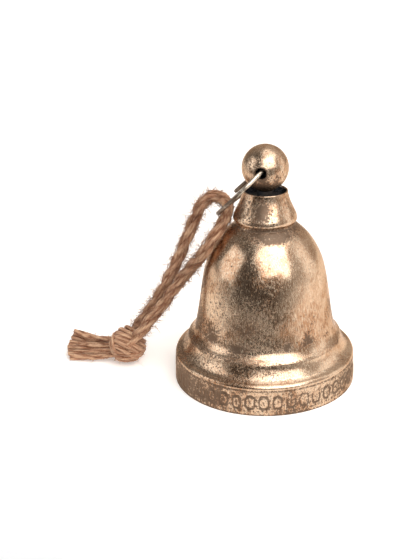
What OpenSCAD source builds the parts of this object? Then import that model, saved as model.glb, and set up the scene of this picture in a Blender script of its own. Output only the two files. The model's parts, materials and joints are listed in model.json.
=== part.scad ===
// Hanging bell: a spun sheet bell with a neck collar, a hollow ball finial that turns on an
// eye bolt, a split ring through the ball, a knotted rope loop, and a clapper inside.
// Millimetres, +Z up, origin at the centre of the mouth, on the surface the bell stands on.

/* [Bell shell] */
// Outer radius of the mouth
mouth_r = 45; // [44:0.5:47]
// Height of the plain lower band
band_h = 14; // [13:0.5:15]
// Outer radius of the ridge between the two flares
ridge_r = 38.2; // [37:0.1:39]
// Height of the ridge
ridge_z = 22.5; // [22:0.1:23]
// Outer radius where the upper flare meets the dome
waist_r = 34.1; // [33.5:0.1:35]
// Height where the upper flare meets the dome
waist_z = 28.7; // [28:0.1:30]
// Outer radius of the hole at the top of the dome
crown_r = 14.6; // [14:0.1:15]
// Height of the dome
crown_z = 79.8; // [78:0.2:80]
// Thickness of the sheet
sheet_t = 1.2; // [0.8:0.1:1.2]

/* [Neck collar] */
// Largest radius of the bead at the foot of the neck
bead_r = 15.2; // [15:0.1:15.6]
// Outer radius of the open rim
rim_r = 10.7; // [10.4:0.1:11.5]
// Height of the rim
rim_z = 96.3; // [96:0.1:97]
// Thickness of the crown plate that closes the neck
plate_t = 1; // [0.8:0.1:1.2]
// Depth of the crown plate below the rim
plate_drop = 4; // [3.5:0.1:4]

/* [Hanger] */
// Diameter of the ball finial
ball_d = 22.2; // [22:0.1:23]
// Height of the ball's centre
ball_z = 107.2; // [107:0.1:108]
// Wall thickness of the ball
ball_t = 1.2; // [1:0.1:1.4]
// Diameter of the cross hole
cross_d = 5.3; // [5.2:0.1:6]
// Diameter of the stud
stud_d = 4; // [3.8:0.1:4]
// Play between the stud and its hole, on the radius
stud_play = 0.05; // [0.02:0.01:0.1]
// Width across the flats of the nuts
nut_af = 7; // [6.5:0.5:7]
// Wire diameter of both eyes and of the clapper rod
eye_wire_d = 2.2; // [2:0.1:2.3]

/* [Split ring] */
// Diameter of the ring's wire
ring_wire_d = 2; // [1.7:0.1:2]
// Radius of the ring, to the middle of the wire
ring_r = 17.6; // [17.5:0.1:17.7]
// Distance of the ring's centre from the middle of the ball
ring_reach = 14.4; // [14.3:0.1:14.6]
// Angle of the ring below level
ring_lean = 45.5; // [45:0.5:46.5]
// Tilt of the ring about its line from the ball to the rope
ring_tilt = 2; // [0:0.5:3]

/* [Clapper] */
// Diameter of the clapper ball
clapper_d = 14; // [12:0.5:15]
// Height of the middle of the clapper ball
clapper_z = 20; // [18:1:26]
// Height of the clapper's pivot
pivot_z = 79; // [78.5:0.1:79]

/* [Rope] */
// Diameter of the rope
rope_d = 6; // [5:0.1:6]
// Diameter over the wraps of the knot
knot_d = 19.4; // [18:0.2:20]
// Radius of the loose ends at the knot
tail_r = 3.2; // [2.8:0.1:3.4]
// Radius of the loose ends at their frayed tips
fray_r = 4.4; // [3.5:0.1:4.4]

/* [Hidden] */
$fn = 48;

curve_n = 8;              // segments in each short curve of the outline
dome_n = 16;              // segments in the dome's curve
plate_z = rim_z - plate_drop - plate_t;
plate_r = 10.9;           // set about half a millimetre into the collar's wall, where it is soldered
end_play = 0.1;           // lengthwise play of the swivel, above and below the crown plate
washer_t = 0.8;
washer_r = 4.5;
nut_h = 3.2;
seat_z = plate_z + plate_t + end_play + washer_t + nut_h;  // flat under the ball
stud_top_z = ball_z - ball_d / 2 + 3.2;                    // stud's end, inside the hollow ball
eye_r = 2.9;              // radius of both eyes, to the middle of the wire
eye_drop = 0.6;           // how far the rod's eye hangs below the middle of the bolt's wire
bolt_eye_z = pivot_z + eye_r;
rod_eye_z = pivot_z - eye_drop;
clapper_seat_z = clapper_z - clapper_d / 2 + 0.4;
clapper_nut_h = 2.2;
clapper_nut_r = 2.4;
rod_end_z = clapper_seat_z - clapper_nut_h - 0.4;
ring_gap = 122;           // where the wire's two ends pass each other, in degrees round the ring
ring_ends_lap = 5;        // how far the ends run past each other
ring_step = 155;          // where the wire steps sideways, so that its ends can lie side by side
knot_at = [-71, -3, knot_d / 2];
rope_sides = 10;

// Middle of the rope, from the knot up the outer leg, through the ring and down the inner leg
rope_route = [
    [-68, 1.5, 16.5], [-64, 1.5, 22.5], [-59, 1, 29.5], [-54.5, 0.5, 36.5], [-50.5, 0, 44], [-47, -1, 51],
    [-43.5, -1, 58], [-41, -1, 64], [-38.5, -1, 70], [-36, -1, 76], [-33.5, -1, 82], [-31, -1, 87],
    [-28, -1, 90.5], [-24.5, -1, 92], [-20.5, -1, 91], [-18.2, -1.5, 88], [-18, -2, 85], [-18.6, -3.5, 82],
    [-19.8, -6, 79.5], [-21.2, -9, 77], [-23.8, -11.5, 73], [-26.4, -12, 68.5], [-29.5, -10.5, 64],
    [-33, -8, 59.5], [-37, -6, 54.5], [-41.5, -5, 48.5], [-46.5, -4.5, 41.5], [-51.5, -4.5, 34],
    [-57, -4.5, 27], [-61.5, -5, 20.5], [-65.5, -5.5, 15.5]];

// Points of a curve that leaves p towards c and reaches q coming from c
function bend(p, c, q, n) =
    [for (i = [0:n]) let (t = i / n) (1 - t) ^ 2 * p + 2 * t * (1 - t) * c + t ^ 2 * q];

// Points of a curve that leaves p towards a and reaches q coming from b
function sweep_curve(p, a, b, q, n) =
    [for (i = [0:n]) let (t = i / n)
        (1 - t) ^ 3 * p + 3 * t * (1 - t) ^ 2 * a + 3 * t ^ 2 * (1 - t) * b + t ^ 3 * q];

function unit(v) = v / norm(v);
function reversed(pts) = [for (i = [len(pts) - 1:-1:0]) pts[i]];

// Direction of a line of points at point i
function heading(pts, i) = unit(pts[min(i + 1, len(pts) - 1)] - pts[max(i - 1, 0)]);

// The inner face of a sheet of thickness t, with its foot and its top cut level
function inner_face(pts, t) =
    [for (i = [0:len(pts) - 1]) let (d = heading(pts, i), last = len(pts) - 1)
        i == 0 ? [pts[i][0] - t, pts[i][1]]
               : i == last ? [pts[i][0] - t / d[1], pts[i][1]] : pts[i] + t * [-d[1], d[0]]];

shell_outline = concat(
    [[mouth_r, 0], [mouth_r - 0.3, band_h / 2]],
    bend([mouth_r - 0.5, band_h - 1.8], [mouth_r - 0.5, band_h + 0.4], [mouth_r - 2.6, band_h + 1.2], 4),
    bend([mouth_r - 4, band_h + 1.9], [ridge_r + 0.9, band_h + 3.6], [ridge_r, ridge_z - 0.6], curve_n),
    bend([ridge_r, ridge_z], [ridge_r, ridge_z + 0.6], [ridge_r - 0.6, ridge_z + 0.9], 2),
    bend([ridge_r - 1.1, ridge_z + 1.2], [waist_r + 1.1, waist_z - 4], [waist_r, waist_z], curve_n),
    [for (i = [1:dome_n]) sweep_curve([waist_r, waist_z], [waist_r - 4.7, waist_z + 21.3],
        [waist_r - 2, crown_z - 12.3], [crown_r, crown_z], dome_n)[i]]);

collar_outline = concat(
    bend([crown_r, crown_z], [bead_r + 0.6, crown_z + 0.5], [bead_r, crown_z + 2.4], 5),
    [for (i = [1:curve_n]) sweep_curve([bead_r, crown_z + 2.4], [bead_r - 0.9, crown_z + 5.4],
        [rim_r + 0.9, rim_z - 6.4], [rim_r, rim_z], curve_n)[i]]);

module spun_sheet(outline, t) {
    rotate_extrude() polygon(concat(outline, reversed(inner_face(outline, t))));
}

module wire_ring(r, wire_d, turn = 360) {
    rotate_extrude(angle = turn) translate([r, 0]) circle(d = wire_d);
}

module rod_between(p, q, r1, r2) {
    d = q - p;
    translate(p)
        rotate([0, acos(d[2] / norm(d)), atan2(d[1], d[0])])
            cylinder(h = norm(d), r1 = r1, r2 = r2);
}

module washer(z) {
    translate([0, 0, z]) difference() {
        cylinder(h = washer_t, r = washer_r);
        translate([0, 0, -1]) cylinder(h = washer_t + 2, d = stud_d);
    }
}

module nut(z) {
    translate([0, 0, z]) difference() {
        cylinder(h = nut_h, d = nut_af / cos(30), $fn = 6);
        translate([0, 0, -1]) cylinder(h = nut_h + 2, d = stud_d);
    }
}

// A round tube along a list of points, closed at both ends
module tube(route, d, sides) {
    n = len(route);
    pts = [for (i = [0:n - 1]) let (t = heading(route, i), u = unit([0, 1, 0] - t[1] * t), v = cross(t, u))
        for (k = [0:sides - 1]) let (a = 360 * k / sides) route[i] + d / 2 * (cos(a) * u + sin(a) * v)];
    walls = [for (i = [0:n - 2], k = [0:sides - 1])
        let (a = i * sides + k, b = i * sides + (k + 1) % sides)
            each [[a, a + sides, b], [b, a + sides, b + sides]]];
    caps = [[for (k = [0:sides - 1]) k], [for (k = [sides - 1:-1:0]) (n - 1) * sides + k]];
    polyhedron(pts, concat(walls, caps));
}

module bell_shell() {
    color("tan") spun_sheet(shell_outline, sheet_t);
}

module neck_collar() {
    color("burlywood") spun_sheet(collar_outline, sheet_t);
}

module crown_plate() {
    color("dimgray") translate([0, 0, plate_z]) difference() {
        cylinder(h = plate_t, r = plate_r);
        translate([0, 0, -1]) cylinder(h = plate_t + 2, r = stud_d / 2 + stud_play);
    }
}

module hanger_ball() {
    color("goldenrod") difference() {
        translate([0, 0, ball_z]) sphere(d = ball_d);
        translate([0, 0, ball_z]) sphere(d = ball_d - 2 * ball_t);
        translate([0, 0, ball_z]) rotate([90, 0, 0]) cylinder(h = ball_d + 2, d = cross_d, center = true);
        translate([0, 0, seat_z - 2]) cylinder(h = 2, r = washer_r);
        translate([0, 0, seat_z - 1]) cylinder(h = 4, d = stud_d);
    }
}

module eye_bolt() {
    color("silver") {
        translate([0, 0, bolt_eye_z]) rotate([90, 0, 0]) wire_ring(eye_r, eye_wire_d);
        translate([0, 0, bolt_eye_z + eye_r]) cylinder(h = stud_top_z - bolt_eye_z - eye_r, d = stud_d);
    }
}

module top_washer() {
    color("gray") washer(plate_z + plate_t + end_play);
}

module top_nut() {
    color("slategray") nut(plate_z + plate_t + end_play + washer_t);
}

module bottom_washer() {
    color("gray") washer(plate_z - end_play - washer_t);
}

module bottom_nut() {
    color("slategray") nut(plate_z - end_play - washer_t - nut_h);
}

// One turn of wire with its ends side by side: a long arc, and a short one that carries on beside it
module split_ring() {
    long_arc = [0.2, ring_step, 360 + ring_gap + ring_ends_lap];
    short_arc = [-0.77, ring_gap, ring_step + 10];
    color("khaki") translate([0, 0, ball_z]) rotate([0, -ring_lean, 0]) rotate([-ring_tilt, 0, 0])
        for (arc = [long_arc, short_arc])
            translate([-ring_reach, 0, arc[0] * ring_wire_d])
                rotate([0, 0, arc[1]]) wire_ring(ring_r, ring_wire_d, arc[2] - arc[1]);
}

module clapper_rod() {
    color("silver") {
        translate([0, 0, rod_eye_z]) rotate([0, 90, 0]) wire_ring(eye_r, eye_wire_d);
        translate([0, 0, rod_end_z]) cylinder(h = rod_eye_z - eye_r - rod_end_z, d = eye_wire_d);
    }
}

module clapper_ball() {
    color("goldenrod") difference() {
        translate([0, 0, clapper_z]) sphere(d = clapper_d);
        translate([0, 0, clapper_z - clapper_d]) cylinder(h = 2 * clapper_d, d = eye_wire_d);
        translate([0, 0, clapper_seat_z - 2]) cylinder(h = 2, r = clapper_nut_r + 1);
    }
}

module clapper_nut() {
    color("slategray") translate([0, 0, clapper_seat_z - clapper_nut_h]) difference() {
        cylinder(h = clapper_nut_h, r = clapper_nut_r);
        translate([0, 0, -1]) cylinder(h = clapper_nut_h + 2, d = eye_wire_d);
    }
}

module rope_loop() {
    color("peru") tube(rope_route, rope_d, rope_sides);
}

module rope_knot() {
    color("sienna") translate(knot_at) sphere(d = knot_d);
}

module rope_end_back() {
    color("chocolate") rod_between([-78, 1.5, 8], [-101, 5, 6.5], tail_r, fray_r);
}

module rope_end_front() {
    color("peru") rod_between([-78, -6, 6], [-100, -8, 4.6], tail_r, fray_r);
}

bell_shell();
neck_collar();
crown_plate();
hanger_ball();
eye_bolt();
top_washer();
top_nut();
bottom_washer();
bottom_nut();
split_ring();
clapper_rod();
clapper_ball();
clapper_nut();
rope_loop();
rope_knot();
rope_end_back();
rope_end_front();
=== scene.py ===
import json
import math

import bpy
import numpy as np
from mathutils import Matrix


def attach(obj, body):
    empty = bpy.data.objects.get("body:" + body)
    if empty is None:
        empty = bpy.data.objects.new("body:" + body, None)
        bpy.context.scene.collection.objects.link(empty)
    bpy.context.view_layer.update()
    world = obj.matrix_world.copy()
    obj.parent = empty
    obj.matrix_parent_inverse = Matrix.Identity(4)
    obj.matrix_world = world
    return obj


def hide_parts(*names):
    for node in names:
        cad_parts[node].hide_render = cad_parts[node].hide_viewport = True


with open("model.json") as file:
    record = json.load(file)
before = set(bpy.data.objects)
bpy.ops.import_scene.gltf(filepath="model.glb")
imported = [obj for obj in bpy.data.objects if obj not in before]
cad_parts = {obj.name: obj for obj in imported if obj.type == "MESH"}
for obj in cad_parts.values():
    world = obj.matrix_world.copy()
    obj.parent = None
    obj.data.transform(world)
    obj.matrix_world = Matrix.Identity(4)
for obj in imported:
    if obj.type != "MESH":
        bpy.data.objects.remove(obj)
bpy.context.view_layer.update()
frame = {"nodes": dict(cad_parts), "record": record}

MM = 0.001
TAU = 2 * math.pi

# ---------------------------------------------------------------- sizes, in metres
BALL_Z = 107.2 * MM           # middle of the ball finial and axis of the split ring
RING_R = 17.6 * MM            # split ring, to the middle of its wire
RING_REACH = 14.4 * MM
RING_LEAN = math.radians(45.5)
RING_TILT = math.radians(2)
RING_WIRE_R = 1.0 * MM
CROSS_R = 2.65 * MM           # cross hole in the ball
BALL_R = 11.1 * MM
MOTIFS = 43                   # stamped outlines round the lower band
PLY_OFFSET = 1.26 * MM        # from the middle of the rope to the middle of a ply
PLY_R = 1.74 * MM
KNOT_PLY_R = 1.27 * MM        # plies are squeezed thinner in the knot
KNOT_CORE = 7.5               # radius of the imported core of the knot, in millimetres
SHEET = 1.2                   # thickness of the bell's metal, in millimetres
RIM_SHEET = 0.42              # the same at the turned rim of the collar
BAND_R = 44.7                 # radius of the stamped band, in millimetres

# Middle of the rope in millimetres, as part.scad has it: from the knot up the outer leg,
# over and through the ring, and down the inner leg back to the knot
ROUTE = [
    (-68, 1.5, 16.5), (-64, 1.5, 22.5), (-59, 1, 29.5), (-54.5, 0.5, 36.5), (-50.5, 0, 44), (-47, -1, 51),
    (-43.5, -1, 58), (-41, -1, 64), (-38.5, -1, 70), (-36, -1, 76), (-33.5, -1, 82), (-31, -1, 87),
    (-28, -1, 90.5), (-24.5, -1, 92), (-20.5, -1, 91), (-18.2, -1.5, 88), (-18, -2, 85), (-18.6, -3.5, 82),
    (-19.8, -6, 79.5), (-21.2, -9, 77), (-23.8, -11.5, 73), (-26.4, -12, 68.5), (-29.5, -10.5, 64),
    (-33, -8, 59.5), (-37, -6, 54.5), (-41.5, -5, 48.5), (-46.5, -4.5, 41.5), (-51.5, -4.5, 34),
    (-57, -4.5, 27), (-61.5, -5, 20.5), (-65.5, -5.5, 15.5)]
# The hidden turn inside the knot, which joins the two ends of the route
KNOT_TURN = [(-68.8, -9, 11), (-72, -8, 7.4), (-73.3, -3, 6.4), (-73, 2, 8), (-70.8, 3.2, 12)]
RING_INDEX = 15               # the route point where the rope bears on the ring
KNOT = np.array([-71, -3, 9.7])


# ---------------------------------------------------------------- small helpers
def unit(v):
    return v / np.linalg.norm(v, axis=-1, keepdims=True)


def smooth_line(points, step, closed=False):
    """A Catmull-Rom curve through the points, resampled at an even step."""
    p = np.array(points, float)
    p = np.vstack([p[-1], p, p[0], p[1]]) if closed else np.vstack([2 * p[0] - p[1], p, 2 * p[-1] - p[-2]])
    t = np.linspace(0, 1, 24, endpoint=False)[:, None]
    fine = []
    for a, b, c, d in zip(p[:-3], p[1:-2], p[2:-1], p[3:]):
        fine.append(0.5 * (2 * b + (c - a) * t + (2 * a - 5 * b + 4 * c - d) * t ** 2
                           + (3 * b - a - 3 * c + d) * t ** 3))
    fine = np.vstack(fine + [p[1] if closed else p[-2]])
    run = np.r_[0, np.cumsum(np.linalg.norm(np.diff(fine, axis=0), axis=1))]
    count = max(int(round(run[-1] / step)), 4)
    at = np.linspace(0, run[-1], count + 1)
    return np.stack([np.interp(at, run, fine[:, k]) for k in range(3)], 1), run[-1]


def frames_along(line, closed=False, ref=(0, 1, 0)):
    """Tangent, side and up vectors at each point of a line."""
    if closed:
        ahead, behind = np.roll(line, -1, 0), np.roll(line, 1, 0)
    else:
        ahead, behind = np.vstack([line[1:], line[-1]]), np.vstack([line[0], line[:-1]])
    t = unit(ahead - behind)
    ref = np.array(ref, float)
    u = unit(ref - (t @ ref)[:, None] * t)
    return t, u, np.cross(t, u)


def grid_faces(rows, cols, closed_rows=False, closed_cols=True):
    r = np.arange(rows if closed_rows else rows - 1)[:, None]
    c = np.arange(cols if closed_cols else cols - 1)[None, :]
    r2, c2 = (r + 1) % rows, (c + 1) % cols
    return np.stack([r * cols + c, r * cols + c2, r2 * cols + c2, r2 * cols + c], -1).reshape(-1, 4)


def end_faces(rows, cols):
    """The two faces that close the ends of a tube of so many rings."""
    return [list(range(cols))[::-1], [(rows - 1) * cols + k for k in range(cols)]]


def rings_around(angles, out, side):
    """Unit vectors that point away from a line, at each angle round each of its points."""
    return np.cos(angles)[None, :, None] * out[:, None, :] + np.sin(angles)[None, :, None] * side[:, None, :]


def hill(x, middle, width):
    """A smooth hill of height 1."""
    return np.exp(-((x - middle) / width) ** 2)


def degrees_from(angles, bearing):
    """Degrees from a bearing, -180 to 180; bearings run from the front towards the right."""
    return (np.degrees(angles) + 90 - bearing + 180) % 360 - 180


def mesh_piece(name, verts, faces, mat, shades=None):
    """A smooth mesh object; shades is a 0-to-1 value for each vertex, kept as attribute 'shade'."""
    mesh = bpy.data.meshes.new(name)
    mesh.from_pydata(np.asarray(verts).tolist(), [], [list(map(int, f)) for f in faces])
    mesh.update()
    mesh.polygons.foreach_set("use_smooth", [True] * len(mesh.polygons))
    if shades is not None:
        layer = mesh.attributes.new("shade", "FLOAT", "POINT")
        layer.data.foreach_set("value", np.asarray(shades, float).ravel())
    obj = bpy.data.objects.new(name, mesh)
    bpy.context.scene.collection.objects.link(obj)
    mesh.materials.append(mat)
    return obj


def mark_inside(obj, values):
    """A second value for each vertex, 1 on the hidden inner face of a hollow piece."""
    layer = obj.data.attributes.new("inside", "FLOAT", "POINT")
    layer.data.foreach_set("value", np.asarray(values, float).ravel())


class Parts:
    """Collects several surfaces into one mesh; grain is each vertex's place along its own fibres."""

    def __init__(self):
        self.verts, self.faces, self.shades, self.grains, self.count = [], [], [], [], 0

    def add(self, verts, faces, shades, grain=None):
        self.verts.append(verts)
        self.faces += [[int(i) + self.count for i in f] for f in faces]
        self.shades.append(shades)
        self.grains.append(verts if grain is None else grain)
        self.count += len(verts)

    def piece(self, name, mat):
        obj = mesh_piece(name, np.vstack(self.verts), self.faces, mat, np.concatenate(self.shades))
        layer = obj.data.attributes.new("grain", "FLOAT_VECTOR", "POINT")
        layer.data.foreach_set("vector", np.vstack(self.grains).astype(float).ravel())
        return obj


# ---------------------------------------------------------------- materials
class Nodes:
    """Short calls for building one material."""

    def __init__(self, name):
        self.mat = bpy.data.materials.new(name)
        self.mat.use_nodes = True
        self.tree = self.mat.node_tree
        self.bsdf = self.tree.nodes["Principled BSDF"]
        self.coords = self.tree.nodes.new("ShaderNodeTexCoord").outputs["Object"]

    def link(self, a, b):
        self.tree.links.new(a, b)

    def stretched(self, scale, turn=(0, 0, 0)):
        node = self.tree.nodes.new("ShaderNodeMapping")
        node.inputs["Rotation"].default_value = turn
        node.inputs["Scale"].default_value = scale
        self.link(self.coords, node.inputs["Vector"])
        return node.outputs["Vector"]

    def noise(self, scale, detail=4.0, rough=0.55, vector=None, distortion=0.0):
        node = self.tree.nodes.new("ShaderNodeTexNoise")
        node.inputs["Scale"].default_value = scale
        node.inputs["Detail"].default_value = detail
        node.inputs["Roughness"].default_value = rough
        node.inputs["Distortion"].default_value = distortion
        self.link(vector or self.coords, node.inputs["Vector"])
        return node.outputs["Fac"]

    def ramp(self, value, low, high, out_low=0.0, out_high=1.0):
        node = self.tree.nodes.new("ShaderNodeMapRange")
        node.interpolation_type = "SMOOTHSTEP"
        for key, v in (("From Min", low), ("From Max", high), ("To Min", out_low), ("To Max", out_high)):
            node.inputs[key].default_value = v
        self.link(value, node.inputs["Value"])
        return node.outputs["Result"]

    def math(self, op, a, b):
        node = self.tree.nodes.new("ShaderNodeMath")
        node.operation = op
        for socket, v in zip(node.inputs, (a, b)):
            if isinstance(v, (int, float)):
                socket.default_value = v
            else:
                self.link(v, socket)
        return node.outputs[0]

    def mix(self, factor, a, b):
        node = self.tree.nodes.new("ShaderNodeMix")
        node.data_type = "RGBA"
        self.link(factor, node.inputs["Factor"])
        for socket, v in ((node.inputs[6], a), (node.inputs[7], b)):
            if isinstance(v, tuple):
                socket.default_value = (*v, 1)
            else:
                self.link(v, socket)
        return node.outputs[2]

    def shade(self, name="shade", output="Fac"):
        node = self.tree.nodes.new("ShaderNodeAttribute")
        node.attribute_name = name
        return node.outputs[output]

    def bump(self, height, strength, distance, normal=None):
        node = self.tree.nodes.new("ShaderNodeBump")
        node.inputs["Strength"].default_value = strength
        node.inputs["Distance"].default_value = distance
        self.link(height, node.inputs["Height"])
        if normal is not None:
            self.link(normal, node.inputs["Normal"])
        return node.outputs["Normal"]

    def finish(self, colour, roughness, normal=None, metallic=None):
        self.link(colour, self.bsdf.inputs["Base Color"])
        self.link(roughness, self.bsdf.inputs["Roughness"])
        if normal is not None:
            self.link(normal, self.bsdf.inputs["Normal"])
        if isinstance(metallic, float):
            self.bsdf.inputs["Metallic"].default_value = metallic
        elif metallic is not None:
            self.link(metallic, self.bsdf.inputs["Metallic"])
        return self.mat


def antique_brass():
    """Hand-rubbed brass: polished tan over a thin brown layer, with dark dots, specks and crossed scratches;
    the shade attribute darkens it with patina in patches and with painted shade in grooves, folds and on the
    lower band.
    """
    n = Nodes("antique_brass")
    cloud = n.noise(42, 4, 0.55)
    blotch = n.noise(120, 6, 0.62, distortion=0.5)
    speckle = n.noise(1250, 4, 0.62)
    fleck = n.noise(620, 5, 0.7, distortion=0.3)
    streak = n.noise(1.0, 5, 0.6, n.stretched((1900, 1900, 240), (0.15, 0.1, 0)))
    brush = n.noise(1.0, 4, 0.6, n.stretched((1500, 260, 1500), (0.7, 0.2, 0.5)))
    cross = n.noise(1.0, 4, 0.6, n.stretched((1700, 1700, 210), (-0.75, 0.6, 0)))
    worn = n.math("ADD", n.math("MULTIPLY", cloud, 0.55), n.math("MULTIPLY", blotch, 0.45))
    tone = n.mix(n.ramp(worn, 0.40, 0.60), (0.37, 0.196, 0.104), (0.61, 0.433, 0.298))
    tone = n.mix(n.ramp(streak, 0.42, 0.70, 0, 0.7), tone, (0.755, 0.622, 0.472))
    tone = n.mix(n.ramp(brush, 0.50, 0.66, 0, 0.45), tone, (0.33, 0.20, 0.13))
    # zone: patina from the shade attribute, together with painted shade in the grooves, folds and lower band
    zone = n.math("ADD", n.ramp(worn, 0.52, 0.38, 0, 0.35), n.shade())
    grit = n.math("MAXIMUM", speckle, n.math("SUBTRACT", fleck, 0.02))
    dots = n.ramp(n.math("ADD", grit, n.math("MULTIPLY", zone, 0.30)), 0.652, 0.76)
    wash_and_painted_shade = n.ramp(n.math("ADD", fleck, n.math("MULTIPLY", zone, 0.42)), 0.62, 0.98, 0, 0.55)
    scratches = n.math("MULTIPLY", n.ramp(cross, 0.58, 0.66), n.ramp(blotch, 0.40, 0.60, 0.2, 0.75))
    # the darkening below is patina and dirt, and painted shade where zone carries it
    patina_and_painted_shade = n.math("MAXIMUM", n.math("MULTIPLY", dots, 0.88), n.math("MULTIPLY", scratches, 0.45))
    patina_and_painted_shade = n.math("MAXIMUM", patina_and_painted_shade, wash_and_painted_shade)
    colour = n.mix(patina_and_painted_shade, tone, (0.105, 0.068, 0.047))
    colour = n.mix(n.shade("inside"), colour, (0.19, 0.20, 0.225))
    rough = n.math("ADD", n.ramp(streak, 0.3, 0.7, 0.16, 0.27), n.math("MULTIPLY", patina_and_painted_shade, 0.25))
    metal = n.ramp(patina_and_painted_shade, 0, 1, 1.0, 0.85)
    relief = n.bump(n.math("SUBTRACT", n.math("MULTIPLY", streak, 0.5), patina_and_painted_shade), 0.4, 0.00012)
    soft = n.bump(blotch, 0.3, 0.0005, relief)
    n.bsdf.inputs["Specular Tint"].default_value = (0.78, 0.66, 0.56, 1)     # keeps the edges warm
    return n.finish(colour, rough, soft, metal)


def plated_wire():
    n = Nodes("tarnished_nickel_and_painted_shade")
    cloud = n.noise(350, 5, 0.65)
    grain = n.noise(1.0, 4, 0.6, n.stretched((2500, 600, 2500)))
    # worn: tarnish clouds, plus painted shade from the shade attribute
    worn = n.math("ADD", n.ramp(cloud, 0.36, 0.62, 0, 0.6), n.math("MULTIPLY", n.shade(), 0.75))
    colour = n.mix(n.ramp(worn, 0.25, 1.05), (0.72, 0.63, 0.51), (0.17, 0.125, 0.095))
    rough = n.ramp(grain, 0.3, 0.7, 0.24, 0.40)
    return n.finish(colour, rough, n.bump(grain, 0.2, 0.0001), 1.0)


def zinc_steel():
    n = Nodes("zinc_steel")
    cloud = n.noise(420, 5, 0.6)
    grain = n.noise(2600, 3, 0.5)
    colour = n.mix(n.ramp(cloud, 0.35, 0.7), (0.52, 0.52, 0.50), (0.34, 0.32, 0.29))
    return n.finish(colour, n.ramp(grain, 0.3, 0.7, 0.28, 0.46), n.bump(grain, 0.25, 0.0001), 1.0)


def dark_metal():
    n = Nodes("dark_steel_and_painted_shade")
    cloud = n.noise(260, 5, 0.6)
    grain = n.noise(1800, 4, 0.6)
    # near black: the inner part's own dark steel, darkened further as painted shade of the recess it sits in
    colour = n.mix(n.ramp(cloud, 0.3, 0.7), (0.06, 0.065, 0.075), (0.15, 0.13, 0.115))
    return n.finish(colour, n.ramp(grain, 0.3, 0.7, 0.4, 0.6), n.bump(grain, 0.3, 0.0001), 0.85)


def jute(name, pale=0.0):
    """Dry plant fibre, matt and hairy: painted shade brown in the grooves and painted light straw-coloured
    on the ridges, from the shade attribute.
    """
    n = Nodes(name)
    cloud = n.noise(240, 5, 0.6)
    grain = n.shade("grain", "Vector")
    fibre = n.math("ADD", n.math("MULTIPLY", n.noise(520, 4, 0.6, grain), 0.55),
                   n.math("MULTIPLY", n.noise(1500, 4, 0.6, grain), 0.45))
    fine = n.noise(4200, 3, 0.6, grain)
    body = n.mix(n.ramp(cloud, 0.32, 0.68), (0.32, 0.148, 0.080), (0.43, 0.225, 0.130))
    body = n.mix(n.ramp(fibre, 0.50, 0.60, 0, 0.9), body, (0.60 + pale, 0.385 + pale, 0.24 + pale))
    body = n.mix(n.ramp(fibre, 0.49, 0.41, 0, 0.95), body, (0.155, 0.058, 0.028))
    # the shade attribute paints light on the crowns of the plies and shade in the grooves between them
    body = n.mix(n.ramp(n.shade(), 0.62, 1.0, 0.0, 0.55), body, (0.66, 0.44, 0.28))
    depth = n.ramp(n.shade(), 0.05, 0.62, 0.92, 0.0)
    colour = n.mix(depth, body, (0.150, 0.060, 0.026))
    normal = n.bump(n.math("ADD", fibre, n.math("MULTIPLY", fine, 0.5)), 0.6, 0.0003)
    n.bsdf.inputs["Sheen Weight"].default_value = 0.12
    n.bsdf.inputs["Sheen Roughness"].default_value = 0.5
    n.bsdf.inputs["Specular IOR Level"].default_value = 0.25
    return n.finish(colour, n.ramp(fine, 0.3, 0.7, 0.78, 0.95), normal, 0.0)


# ---------------------------------------------------------------- camera
def add_camera():
    """Standing in front and a little to the right, looking down at the bell."""
    azimuth, pitch = math.radians(11.4), math.radians(22.68)
    back, height, aside = 0.450, 0.2382, -0.0048
    sensor, long_side = 36, 560      # the sensor width lies along the longer side of a 420 by 560 frame
    data = bpy.data.cameras.new("camera")
    data.sensor_width = sensor
    data.lens = sensor * 996 / long_side
    data.shift_x = -45 / long_side   # the bell stands right of the middle of the frame
    data.clip_start = 0.01
    cam = bpy.data.objects.new("camera", data)
    cam.location = (back * math.sin(azimuth) + aside * math.cos(azimuth),
                    -back * math.cos(azimuth) + aside * math.sin(azimuth), height)
    cam.rotation_euler = (math.pi / 2 - pitch, 0, azimuth)
    bpy.context.scene.collection.objects.link(cam)
    bpy.context.scene.camera = cam


# ---------------------------------------------------------------- rope
def slow_wave(s, length, local, low, high, step):
    """A smooth random wave along a strand, about -1 to 1, the same at both ends."""
    waves = [local.uniform(0.4, 1) * np.sin(TAU * k * s / length + local.uniform(0, TAU))
             for k in range(low, high, step)]
    return sum(waves) / math.sqrt(len(waves))


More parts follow.
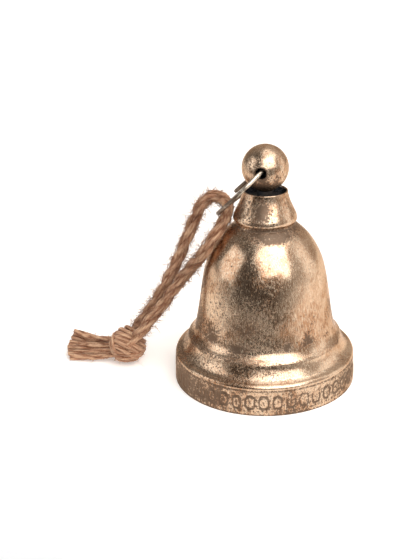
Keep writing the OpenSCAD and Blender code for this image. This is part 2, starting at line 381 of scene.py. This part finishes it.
def strand(parts, line, axes, phase, lay, offset, radius, sides=24, yarn_lay=20 * MM, spread=1, seed=0,
           tone=0.0, front=None):
    """One ply: a tube of fibres that winds round the line at a distance, once for each lay.

    Its shade value is painted light on the side that faces away from the line, or the way that front points,
    and painted shade in the grooves.
    """
    t, u, v = axes
    n = len(line)
    s = np.r_[0, np.cumsum(np.linalg.norm(np.diff(line, axis=0), axis=1))]
    turn = phase + TAU * s / lay
    out = np.cos(turn)[:, None] * u + np.sin(turn)[:, None] * v
    side = np.cross(t, out)
    local = np.random.default_rng(seed)
    periods = max(int(s[-1] / (14 * MM)), 2)
    lump = slow_wave(s, s[-1], local, 1, 3 * periods, max(periods // 3, 1))
    drift = slow_wave(s, s[-1], local, 1, 2 * periods, max(periods // 3, 1))
    away = offset * (1 + 0.10 * drift) * spread
    centre = line + out * away[:, None]
    a = np.arange(sides) / sides * TAU
    run = a[None, :] + (TAU * s / yarn_lay)[:, None]
    fibre = (0.55 * np.cos(5 * run + 1.4 * drift[:, None])
             + 0.35 * np.cos(8 * run + 2.0 * lump[:, None] + phase)
             + 0.25 * np.cos(3 * run - 1.7 * drift[:, None] + 2 * phase))
    size = radius * (1 + 0.07 * lump)[:, None] * (1 + 0.055 * fibre)
    around = rings_around(a, out, side)
    ring = centre[:, None, :] + size[..., None] * around
    facing = np.cos(a)[None, :] if front is None else 1.3 * np.einsum("ijk,ik->ij", around, front) - 0.3
    # painted light and shade round each ply, with the fibre ridges and lumps lighter
    light = 0.47 + tone + 0.36 * facing + 0.27 * fibre + 0.12 * lump[:, None]
    shade = np.clip(light, 0, 1) * np.ones((n, sides))
    grain = np.stack([radius * np.cos(run) + phase * MM, radius * np.sin(run) + seed * MM,
                      0.20 * s[:, None] * np.ones((1, sides))], -1)
    faces = grid_faces(n, sides).tolist() + end_faces(n, sides)
    parts.add(ring.reshape(-1, 3), faces, shade.ravel(), grain.reshape(-1, 3))


def make_rope(mat):
    """Three plies laid into a closed round, which starts and ends where it bears on the ring."""
    points = ROUTE[RING_INDEX:] + KNOT_TURN + ROUTE[:RING_INDEX]
    line, length = smooth_line(np.array(points) * MM, 0.6 * MM, closed=True)
    axes = [np.vstack([a, a[:1]]) for a in frames_along(line[:-1], closed=True, ref=(-0.6, 0.6, 0.5))]
    lay = length / (round(3 * length / (31 * MM)) / 3)     # a whole number of thirds joins the round up
    yarn_lay = length / round(length / (21 * MM))
    parts = Parts()
    for k in range(3):
        strand(parts, line, axes, TAU * k / 3, lay, PLY_OFFSET, PLY_R, yarn_lay=yarn_lay, seed=40)
    return parts.piece("jute_rope", mat), line, length


def hairs(parts, roots, outward, along, reach, thick, seed):
    """Loose fibres: thin, bent and tapering, each rooted just under the surface."""
    local = np.random.default_rng(seed)
    for root, out, ahead in zip(roots, outward, along):
        length = reach * local.uniform(0.3, 1.0) ** 1.4
        way = unit(out * local.uniform(0.15, 1.0) + ahead * local.choice([-1, 1]) * local.uniform(0.3, 1.4)
                   + 0.3 * local.normal(size=3))
        curl = 0.5 * local.normal(size=3)
        step = np.linspace(0, 1, 5)[:, None]
        line = root + length * (way * step + curl * step ** 2 * 0.6)
        line[:, 2] = np.maximum(line[:, 2], 0.12 * MM)
        _, u, v = frames_along(line, ref=(0.3, 0.8, 0.5))
        size = local.uniform(0.6, 1.0) * thick * np.linspace(1, 0.4, 5)[:, None]
        corners = [line + size * (math.cos(a) * u + math.sin(a) * v) for a in (0, TAU / 3, 2 * TAU / 3)]
        ring = np.stack(corners, 1)
        faces = grid_faces(5, 3).tolist() + end_faces(5, 3)
        parts.add(ring.reshape(-1, 3), faces, np.full(15, local.uniform(0.25, 0.85)))


def make_fuzz(name, line, surface, coats, mat, seed):
    """A coat of loose fibres; coats gives how many, how long and how thick."""
    t, u, v = frames_along(line, ref=(-0.6, 0.6, 0.5))
    local = np.random.default_rng(seed)
    parts = Parts()
    for count, reach, thick in coats:
        i = local.integers(1, len(line) - 1, count)
        a = local.uniform(0, TAU, count)[:, None]
        out = np.cos(a) * u[i] + np.sin(a) * v[i]
        hairs(parts, line[i] + surface * out, out, t[i], reach, thick, int(local.integers(1 << 30)))
    return parts.piece(name, mat)


# Turns of the knot: the way each turn's axis points, the places of its plies along that axis,
# and the radius of the ball that they lie on
TURNS = [
    ((0.30, 0.65, 0.74), (6.9, 4.6, 2.3, 0.0, -2.3, -4.6), 8.1),
    ((0.14, 0.07, 0.99), (-1.7, -4.1, -6.4), 8.35),
    ((-0.97, -0.10, -0.20), (5.4, 7.3), 8.3)]


def make_knot(mat):
    """The knot: the doubled rope wound round itself, its plies lying side by side over a packed core."""
    parts, lines = Parts(), []
    for number, (axis, places, ball) in enumerate(TURNS):
        axis = unit(np.array(axis))
        side = unit(np.cross(axis, (0.2, 1, 0.1)))
        up = np.cross(axis, side)
        for k, place in enumerate(places):
            a = np.linspace(0, TAU, 97)
            sway = 0.30 * np.sin(2 * a + 1.7 * number) + 0.12 * np.sin(3 * a + k)
            reach = math.sqrt(ball ** 2 - place ** 2) + 0.12 * np.sin(3 * a + 2 * k)
            line = (KNOT + (place + sway)[:, None] * axis
                    + reach[:, None] * (np.cos(a)[:, None] * side + np.sin(a)[:, None] * up)) * MM
            axes = [np.vstack([w, w[:1]]) for w in frames_along(line[:-1], closed=True, ref=axis)]
            length = np.linalg.norm(np.diff(line, axis=0), axis=1).sum()
            strand(parts, line, axes, k, length, 0.10 * MM, KNOT_PLY_R, sides=22,
                   yarn_lay=length / round(length / (24 * MM)), seed=90 + 7 * number + k, tone=-0.06,
                   front=unit(line - KNOT * MM))
            lines.append(line)
    a = np.arange(48) / 48 * TAU
    b = np.linspace(0.02, math.pi - 0.02, 24)
    core = np.stack([np.sin(b)[:, None] * np.cos(a), np.sin(b)[:, None] * np.sin(a),
                     np.cos(b)[:, None] * np.ones(48)], -1)
    core = core * (KNOT_CORE + 0.2 * np.cos(9 * a)[None, :])[..., None]
    faces = grid_faces(24, 48).tolist() + end_faces(24, 48)
    # the core is painted dark: painted shade in the gaps between the plies
    parts.add((core.reshape(-1, 3) + KNOT) * MM, faces, np.full(24 * 48, 0.12))
    return parts.piece("jute_knot", mat), lines


# Each loose ply in millimetres, from inside the knot to its tip
PLIES = [
    [(-76.5, 0.5, 10.0), (-83, 1.0, 9.3), (-92, 3.0, 8.6), (-103.2, 5.8, 9.6)],
    [(-76.5, 1.5, 7.6), (-84, 2.2, 6.9), (-94, 3.8, 5.9), (-104.6, 5.2, 6.4)],
    [(-76.5, -1.0, 7.0), (-85, -0.6, 6.4), (-94, 0.6, 5.2), (-104.9, 2.0, 4.6)],
    [(-76.5, -2.6, 8.6), (-84, -2.2, 7.0), (-94, -1.6, 4.9), (-104.4, -1.6, 3.4)],
    [(-76.5, -4.6, 6.6), (-84, -4.4, 5.0), (-93, -4.4, 3.4), (-103.0, -4.8, 2.3)],
    [(-76.0, -6.0, 5.0), (-83, -6.6, 3.6), (-91, -7.4, 2.5), (-101.0, -8.0, 2.1)]]


def make_tail(name, plies, mat, seed):
    """Loose plies of one rope end: three yarns each, opening towards a blunt frayed cut."""
    parts, lines = Parts(), []
    for i, ply in enumerate(plies):
        line, _ = smooth_line(np.array(ply) * MM, 0.55 * MM)
        s = np.linspace(0, 1, len(line))
        for k in range(3):
            strand(parts, line, frames_along(line), 1.3 * i + TAU * k / 3, 40 * MM, 0.66 * MM, 0.98 * MM,
                   sides=16, yarn_lay=24 * MM, spread=1 + 0.45 * s ** 4, seed=seed + 3 * i + k)
        lines.append(line)
    local = np.random.default_rng(seed)
    count = 46                                    # cut fibres that stand out of each blunt tip
    for line in lines:
        t, u, v = frames_along(line)
        a = local.uniform(0, TAU, count)[:, None]
        r = local.uniform(0.2, 1.7, count)[:, None] * MM
        out = np.cos(a) * u[-1] + np.sin(a) * v[-1]
        roots = line[-1] + r * out - local.uniform(0.4, 2.0, count)[:, None] * MM * t[-1]
        hairs(parts, roots, np.repeat(t[-1:], count, 0), 0.3 * out, 2.4 * MM, 0.13 * MM, seed + 5)
    return parts.piece(name, mat), lines


# ---------------------------------------------------------------- bell
def curve(p, c, q, n):
    """Points from p towards c and on to q."""
    t = np.linspace(0, 1, n + 1)[:, None]
    p, c, q = (np.array(w, float) for w in (p, c, q))
    return (1 - t) ** 2 * p + 2 * t * (1 - t) * c + t ** 2 * q


def long_curve(p, a, b, q, n):
    t = np.linspace(0, 1, n + 1)[:, None]
    p, a, b, q = (np.array(w, float) for w in (p, a, b, q))
    return (1 - t) ** 3 * p + 3 * t * (1 - t) ** 2 * a + 3 * t ** 2 * (1 - t) * b + t ** 3 * q


def even(points, step):
    """The same outline with its points at an even step."""
    gap = np.linalg.norm(np.diff(points, axis=0), axis=1)
    run = np.r_[0, np.cumsum(gap)]
    at = np.linspace(0, run[-1], int(run[-1] / step) + 1)
    return np.stack([np.interp(at, run, points[:, k]) for k in range(2)], 1)


def inner_face(points, thick):
    """The outline moved inwards by the thickness of the sheet, level with it at both ends."""
    d = unit(np.gradient(points, axis=0))
    inner = points + thick * np.stack([-d[:, 1], d[:, 0]], 1)
    inner[0] = points[0] - (thick, 0)
    inner[-1] = (points[-1][0] - thick / max(d[-1][1], 0.3), points[-1][1])
    return inner


def spun_piece(name, outer, segments, mat, relief, step_in=6, rim=None):
    """A spun sheet: outer face with its relief, rounded edges, and a plainer inner face."""
    a = np.arange(segments) / segments * TAU
    inner = inner_face(outer, SHEET)
    if rim is not None:                               # the sheet thins over the last 5 mm, towards its rim
        share = np.clip((outer[:, 1] - outer[-1, 1] + 5) / 5, 0, 1)[:, None]
        inner = inner + (inner_face(outer, rim) - inner) * share
    inner = inner[::-step_in]
    rows, shades = [], []
    depth, dark = relief(a, outer)
    wobble = 0.10 * np.sin(2 * a + 1) + 0.06 * np.sin(3 * a) + 0.03 * np.sin(7 * a + 2)
    for i, (r, z) in enumerate(outer):
        ease = min(1.0, i / 8) * min(1.0, (len(outer) - 1 - i) / 8)
        hammer = 0.05 * np.sin(5 * a + z / 3.1) * np.sin(z / 4.7) + 0.035 * np.sin(11 * a - z / 2.3)
        rad = r + ease * (0.6 * wobble + hammer) - depth[i]
        rows.append(np.stack([rad * np.cos(a), rad * np.sin(a), np.full(segments, z)], 1))
        shades.append(dark[i])
    top_mid = (outer[-1] + inner[0]) / 2
    low_mid = (outer[0] + inner[-1]) / 2
    profile = [tuple(top_mid)] + [tuple(p) for p in inner] + [tuple(low_mid)]
    for k, (r, z) in enumerate(profile):
        rows.append(np.stack([r * np.cos(a), r * np.sin(a), np.full(segments, z)], 1))
        shades.append(np.full(segments, 0.35 if k > 1 else 0.0))
    faces = grid_faces(len(rows), segments, closed_rows=True)
    obj = mesh_piece(name, np.vstack(rows) * MM, faces, mat, np.concatenate(shades))
    inside = np.zeros((len(rows), segments))
    inside[len(outer) + 2:-2] = 1
    mark_inside(obj, inside)
    return obj


def stamped_band(a, outer):
    """Worn stamped border: a row of rounded outlines with dots between, and a dashed line below; painted
    shade in the crease at its top, and darker along the bottom edge.
    """
    pitch = TAU * BAND_R / MOTIFS
    u = a / TAU * MOTIFS
    index = np.floor(u).astype(int)
    x = (u - index - 0.5) * pitch
    local = np.random.default_rng(5)
    wide, worn = local.uniform(0.9, 1.1, MOTIFS)[index], local.uniform(0.6, 1.0, MOTIFS)[index]
    open_top = local.uniform(0, 1, MOTIFS)[index] < 0.45
    shift = local.uniform(-0.35, 0.35, MOTIFS)[index]
    depth, dark = np.zeros((len(outer), len(a))), np.zeros((len(outer), len(a)))
    for i, (r, z) in enumerate(outer):
        if z > 17:
            continue
        h = z - 6.6 - shift
        ring = (np.abs(x / (2.15 * wide)) ** 2.8 + np.abs(h / 3.1) ** 2.8) ** (1 / 2.8)
        groove = hill(ring, 1, 0.18) * np.where(open_top & (h > 1.4), 0.15, 1.0)
        core = 0.45 * np.exp(-(x / 0.45) ** 2 - (h / 1.2) ** 2)
        dot = 0.5 * np.exp(-((np.abs(x) - pitch / 2) / 0.4) ** 2 - ((np.abs(h) - 1.6) / 0.7) ** 2)
        line = hill(z, 2.2, 0.35) * (0.55 + 0.45 * np.sin(a * MOTIFS * 3))
        crease = hill(z, 12.6, 0.45)
        fade = worn * (0.82 + 0.18 * np.sin(a * 3 + 1.3))
        depth[i] = 0.48 * fade * np.maximum(groove, np.maximum(core, dot)) + 0.16 * line + 0.14 * crease
        # dark: patina in the outlines, dots and dashed line; painted shade in the crease; darker towards the
        # bottom edge
        dark[i] = np.clip(1.35 * fade * np.maximum(groove, np.maximum(0.8 * core, dot)) + 0.45 * line
                          + 0.30 * crease + 0.55 * hill(z, 0, 0.7), 0, 1)
    return depth, dark


# Dark patches on the bell: the bearing of each from the front towards the right in degrees,
# its height in millimetres, its half-width in degrees, its half-height and its strength
# Most are patina; the first, under the highlight, is also a painted dark reflection, and the one at 77.6 mm
# is painted shade in the fold at the collar's foot
PATCHES = [
    (-4, 40, 26, 13, 0.66), (-12, 27, 9, 3.0, 0.60), (29, 30, 4, 2.4, 0.95), (49, 31, 5, 2.8, 0.70),
    (-37, 31, 9, 5.0, 0.60), (24, 77.6, 34, 1.9, 0.95), (-48, 7, 24, 9, 0.60), (-66, 33, 8, 5.0, 0.65),
    (12, 19, 13, 1.9, 0.60), (-74, 50, 12, 24, 0.55), (-34, 20, 20, 4.0, 0.40), (100, 40, 14, 9, 0.45),
    (-30, 52, 10, 8, 0.35), (-46, 42, 18, 14, 0.25), (-76, 20, 14, 8, 0.50), (60, 8, 26, 6, 0.15),
    (150, 30, 22, 6, 0.60), (128, 66, 18, 7, 0.40), (-150, 36, 20, 8, 0.50), (-112, 20, 16, 4, 0.50),
    (178, 58, 16, 10, 0.40), (-128, 70, 14, 5, 0.50), (76, 9, 14, 6, 0.35), (-165, 8, 20, 6, 0.40)]


def patches(a, z):
    total = np.zeros(len(a))
    for bearing, height, wide, tall, strength in PATCHES:
        total += strength * hill(degrees_from(a, bearing), 0, wide) * hill(z, height, tall)
    return total


def shell_relief(a, outer):
    """The stamped band, and dark values: patina in the patches, and painted shade in the grooves, at the top
    of the flare, at the collar's foot and on the lower band.
    """
    depth, dark = stamped_band(a, outer)
    for i, (r, z) in enumerate(outer):
        # the patches are mostly patina; the 0.32 below 13 mm is painted shade on the lower band
        dark[i] += patches(a, z) + (0.32 if z < 13 else 0)
        # painted shade: darker in the grooves under the ridge, in the fold at the collar's foot and at the
        # top of the flare
        groove_painted_shade = hill(z, 23.0, 0.9) + 0.8 * hill(z, 29.0, 1.3)
        foot = hill(z, 79.5, 1.2) + 0.5 * hill(z, 76.5, 2.2)
        flare = 0.55 * hill(z, 16.0, 1.0)
        dark[i] = np.clip(dark[i] + 0.34 * groove_painted_shade + 0.5 * foot + 0.5 * flare, 0, 1)
    return depth, dark


def collar_relief(a, outer):
    """No relief; painted shade in the fold at the foot, dark in two broad streaks up the flank, and a little
    darker below the rim.
    """
    dark = np.zeros((len(outer), len(a)))
    turn = degrees_from(a, 30)
    for i, (r, z) in enumerate(outer):
        # painted shade in the fold at the foot, strongest at the front
        dark[i] = (hill(z, 79.6, 1.6) * (0.45 + 0.55 * hill(turn, 0, 55))
                   + 0.85 * hill(turn, -26, 17) * hill(z, 89, 6)
                   + 0.40 * hill(turn, -80, 30) * hill(z, 90, 7)
                   + (0.20 if z < 95 else 0))
    return np.zeros_like(dark), dark


def make_shell(mat):
    outline = np.vstack([
        curve((45, 0), (44.9, 7), (44.5, 12.6), 20),
        curve((44.5, 12.8), (44.5, 14.9), (42.6, 15.3), 8)[1:],
        curve((41.4, 15.9), (39.5, 17.4), (38.2, 21.3), 12),
        curve((38.0, 22.2), (37.8, 23.2), (36.9, 23.9), 5),
        curve((36.4, 24.3), (34.9, 25.5), (34.1, 28.7), 10),
        long_curve((34.1, 28.7), (29.4, 50), (32.1, 67.5), (14.6, 79.8), 60)[1:]])
    low = even(outline[outline[:, 1] < 15.6], 0.28)
    high = even(np.vstack([low[-1], outline[outline[:, 1] >= 15.6]]), 0.7)[1:]
    return spun_piece("bell_skin", np.vstack([low, high]), MOTIFS * 15, mat, shell_relief)


def make_collar(mat):
    """Spun neck: a soft fillet onto the dome, a full bead, a hollow flank and a thin turned rim."""
    outline = np.vstack([
        curve((17.0, 77.96), (14.9, 78.9), (14.5, 80.2), 10),
        long_curve((14.48, 80.4), (14.45, 81.7), (15.5, 81.9), (15.2, 83.6), 12),
        long_curve((15.1, 84.1), (14.3, 87.0), (11.6, 90.0), (10.75, 96.0), 28),
        ((10.7, 96.3),)])
    return spun_piece("collar_skin", even(outline, 0.3), 192, mat, collar_relief, 3, RIM_SHEET)


def make_ball(mat):
    """Hollow ball turned about the line of its cross hole, with a small raised lip at each hole."""
    edge = math.asin(CROSS_R / BALL_R)
    b = np.linspace(edge, math.pi - edge, 90)
    lip = 1 + 0.010 * (hill(b, edge + 0.03, 0.035) + hill(b, math.pi - edge - 0.03, 0.035))
    outer = np.stack([BALL_R * lip * np.sin(b), BALL_R * lip * np.cos(b)], 1)
    wall = BALL_R - SHEET * MM
    edge_in = math.asin(CROSS_R / wall)
    c = np.linspace(math.pi - edge_in, edge_in, 40)
    inner = np.stack([wall * np.sin(c), wall * np.cos(c)], 1)
    profile = np.vstack([outer, inner])
    a = np.arange(128) / 128 * TAU
    verts = np.stack([profile[:, :1] * np.cos(a), -profile[:, 1:] * np.ones(128),
                      BALL_Z + profile[:, :1] * np.sin(a)], -1)
    rim = hill(b, edge, 0.09) + hill(b, math.pi - edge, 0.09)
    low = 0.5 * hill(np.degrees(a), 285, 55) + 0.25 * hill(np.degrees(a), 150, 35)
    shade = np.r_[np.clip(0.75 * rim, 0, 1), np.full(40, 0.9)][:, None] + low + 0.22
    obj = mesh_piece("ball_finial", verts.reshape(-1, 3), grid_faces(len(profile), 128, closed_rows=True),
                     mat, shade.ravel())
    mark_inside(obj, np.r_[np.zeros(91), np.ones(38), 0][:, None] * np.ones(128))
    return obj


def make_ring(mat):
    """Split ring: one turn of wire, its ends passing each other side by side at the back."""
    end, start = math.radians(127), math.radians(122) - TAU          # zero is at the ball
    count, sides = 361, 20
    angle = np.linspace(end, start, count)
    run = np.linspace(1, -1, count)                                  # 1 and -1 at the two cut ends
    lift = RING_WIRE_R * np.where(run > 0, 0.97 * run ** 3, -2.3 * np.abs(run) ** 3.5)
    line = np.stack([-RING_REACH + RING_R * np.cos(angle), RING_R * np.sin(angle), lift], 1)
    tilt = np.array([[1, 0, 0], [0, math.cos(RING_TILT), math.sin(RING_TILT)],
                     [0, -math.sin(RING_TILT), math.cos(RING_TILT)]])
    lean = np.array([[math.cos(RING_LEAN), 0, -math.sin(RING_LEAN)], [0, 1, 0],
                     [math.sin(RING_LEAN), 0, math.cos(RING_LEAN)]])
    turn = lean @ tilt
    line = line @ turn.T + (0, 0, BALL_Z)
    _, u, v = frames_along(line, ref=turn @ np.array([0, 0, 1.0]))
    a = np.arange(sides) / sides * TAU
    s = np.linspace(0, 1, count)
    nose = np.minimum(s, 1 - s) * (count - 1) * 0.26                 # both cut ends slightly rounded
    size = RING_WIRE_R * np.minimum(1, 0.72 + 0.28 * nose)
    ring = line[:, None, :] + size[:, None, None] * rings_around(a, u, v)
    faces = grid_faces(count, sides).tolist() + end_faces(count, sides)
    # painted shade: the wire darkened all along, except on the near strand by the ball
    shade = 1.1 * (1 - hill(np.degrees(angle), -42, 42))[:, None] + np.zeros((1, sides))
    return mesh_piece("split_ring_wire", ring.reshape(-1, 3), faces, mat, np.clip(shade, 0, 1))


# ---------------------------------------------------------------- stage and light
def add_stage():
    """A pale table with painted light: it glows a little, more towards the back, standing in for a lit paper
    sweep.

    Its front edge is close to the bell, so that the metal reflects the darker room beyond it.
    """
    size, front, depth = 8.0, -0.16, -0.0001
    corners = [(-size, front, depth), (size, front, depth), (size, size, depth), (-size, size, depth)]
    n = Nodes("pale_floor")
    paper = n.noise(3, 2)
    split = n.tree.nodes.new("ShaderNodeSeparateXYZ")
    n.link(n.coords, split.inputs["Vector"])
    back = split.outputs["Y"]
    # painted light: the floor glows, little at its front edge and more towards the back
    glow = n.math("ADD", n.ramp(back, -0.30, 0.10, 0.0, 0.40), n.ramp(back, 0.10, 1.40, 0.0, 0.60))
    n.link(glow, n.bsdf.inputs["Emission Strength"])
    n.bsdf.inputs["Emission Color"].default_value = (1.0, 0.96, 0.92, 1)
    n.finish(n.mix(n.ramp(paper, 0.3, 0.7), (0.93, 0.89, 0.85), (0.95, 0.91, 0.87)),
             n.ramp(paper, 0.3, 0.7, 0.8, 0.85), None, 0.0)
    mesh_piece("floor", corners, [(0, 1, 2, 3)], n.mat)


# Name, azimuth and elevation in degrees, distance, width and height in metres, and radiance
SOFTBOXES = [
    ("key_box", 33, 41, 0.9, (0.95, 0.84), 3.5),
    ("left_box", -66, 22, 1.0, (0.70, 0.78), 1.8),
    ("top_box", 80, 74, 1.0, (0.9, 0.9), 1.5),
    ("right_box", 108, 20, 1.0, (0.5, 0.7), 0.85)]


def soft_panel(name, azimuth, elevation, distance, size, radiance):
    """A softbox that faces the bell; azimuth runs from the front towards the right."""
    data = bpy.data.lights.new(name, "AREA")
    data.shape = "RECTANGLE"
    data.size, data.size_y = size
    data.energy = radiance * math.pi * size[0] * size[1]
    lamp = bpy.data.objects.new(name, data)
    az, el = math.radians(azimuth), math.radians(elevation)
    place = np.array([math.sin(az) * math.cos(el), -math.cos(az) * math.cos(el), math.sin(el)]) * distance
    lamp.location = place + (0, 0, 0.05)
    lamp.rotation_euler = (math.pi / 2 - el, 0, az)
    bpy.context.scene.collection.objects.link(lamp)


def add_light():
    """A white backdrop for the camera, and a dimmer room with four softboxes for the metal."""
    world = bpy.data.worlds.new("studio")
    world.use_nodes = True
    tree = world.node_tree
    room = tree.nodes["Background"]
    room.inputs["Color"].default_value = (1.0, 0.93, 0.86, 1)
    way = tree.nodes.new("ShaderNodeTexCoord")
    across = tree.nodes.new("ShaderNodeVectorMath")
    across.operation = "DOT_PRODUCT"
    across.inputs[1].default_value = (0.55, 0.80, 0.0)
    fade = tree.nodes.new("ShaderNodeMapRange")      # the room is dark in front and lit behind, on the right
    fade.interpolation_type = "SMOOTHSTEP"
    for key, value in (("From Min", -0.65), ("From Max", 0.75), ("To Min", 0.08), ("To Max", 0.70)):
        fade.inputs[key].default_value = value
    tree.links.new(way.outputs["Generated"], across.inputs[0])
    tree.links.new(across.outputs["Value"], fade.inputs["Value"])
    tree.links.new(fade.outputs["Result"], room.inputs["Strength"])
    backdrop = tree.nodes.new("ShaderNodeBackground")
    backdrop.inputs["Strength"].default_value = 1.0
    backdrop.inputs["Color"].default_value = (1, 1, 1, 1)
    path = tree.nodes.new("ShaderNodeLightPath")
    mix = tree.nodes.new("ShaderNodeMixShader")
    tree.links.new(path.outputs["Is Camera Ray"], mix.inputs["Fac"])
    tree.links.new(room.outputs["Background"], mix.inputs[1])
    tree.links.new(backdrop.outputs["Background"], mix.inputs[2])
    tree.links.new(mix.outputs["Shader"], tree.nodes["World Output"].inputs["Surface"])
    bpy.context.scene.world = world
    for box in SOFTBOXES:
        soft_panel(*box)
    bpy.context.scene.view_settings.view_transform = "Standard"


# ---------------------------------------------------------------- build
add_camera()

JUTE = jute("jute")
JUTE_HAIR = jute("jute_fibres", -0.12)
rope, rope_path, rope_length = make_rope(JUTE)
knot, knot_lines = make_knot(JUTE)
tail_back, back_lines = make_tail("rope_tail_back", PLIES[:3], JUTE, 11)
tail_front, front_lines = make_tail("rope_tail_front", PLIES[3:], JUTE, 31)
tail_lines = np.vstack([line[6:-4] for line in back_lines + front_lines])
fuzz = [make_fuzz("rope_fuzz", rope_path, 2.75 * MM,
                  [(4000, 4.2 * MM, 0.125 * MM), (450, 7.5 * MM, 0.12 * MM)], JUTE_HAIR, 3),
        make_fuzz("knot_fuzz", np.vstack(knot_lines), 1.1 * MM,
                  [(700, 2.8 * MM, 0.11 * MM), (60, 5 * MM, 0.09 * MM)], JUTE_HAIR, 4),
        make_fuzz("tail_fuzz", tail_lines, 1.3 * MM,
                  [(800, 3.0 * MM, 0.11 * MM), (80, 5.5 * MM, 0.09 * MM)], JUTE_HAIR, 5)]
rope_pieces = [knot, tail_back, tail_front, *fuzz]
for piece in (rope, *rope_pieces):
    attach(piece, "ring")
for piece, node in ((rope, "rope_loop"), (knot, "rope_knot"),
                    (tail_back, "rope_end_back"), (tail_front, "rope_end_front")):
    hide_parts(node)

BRASS = antique_brass()
shell = make_shell(BRASS)
collar = make_collar(BRASS)
ball = make_ball(BRASS)
ring = make_ring(plated_wire())
for piece, body, slot, node in ((shell, "bell", "antique_brass", "bell_shell"),
                                (collar, "bell", "antique_brass", "neck_collar"),
                                (ball, "hanger", "antique_brass", "hanger_ball"),
                                (ring, "ring", "ring_wire", "split_ring")):
    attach(piece, body)
    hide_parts(node)

finishes = {"antique_brass": BRASS, "zinc_steel": zinc_steel(), "inner_metal": dark_metal()}
slots = {row["node"]: row["material_slot"] for row in frame["record"]["subparts"]}
for node, slot in slots.items():
    if slot in finishes:
        for holder in frame["nodes"][node].material_slots:
            holder.material = finishes[slot]

add_stage()
add_light()
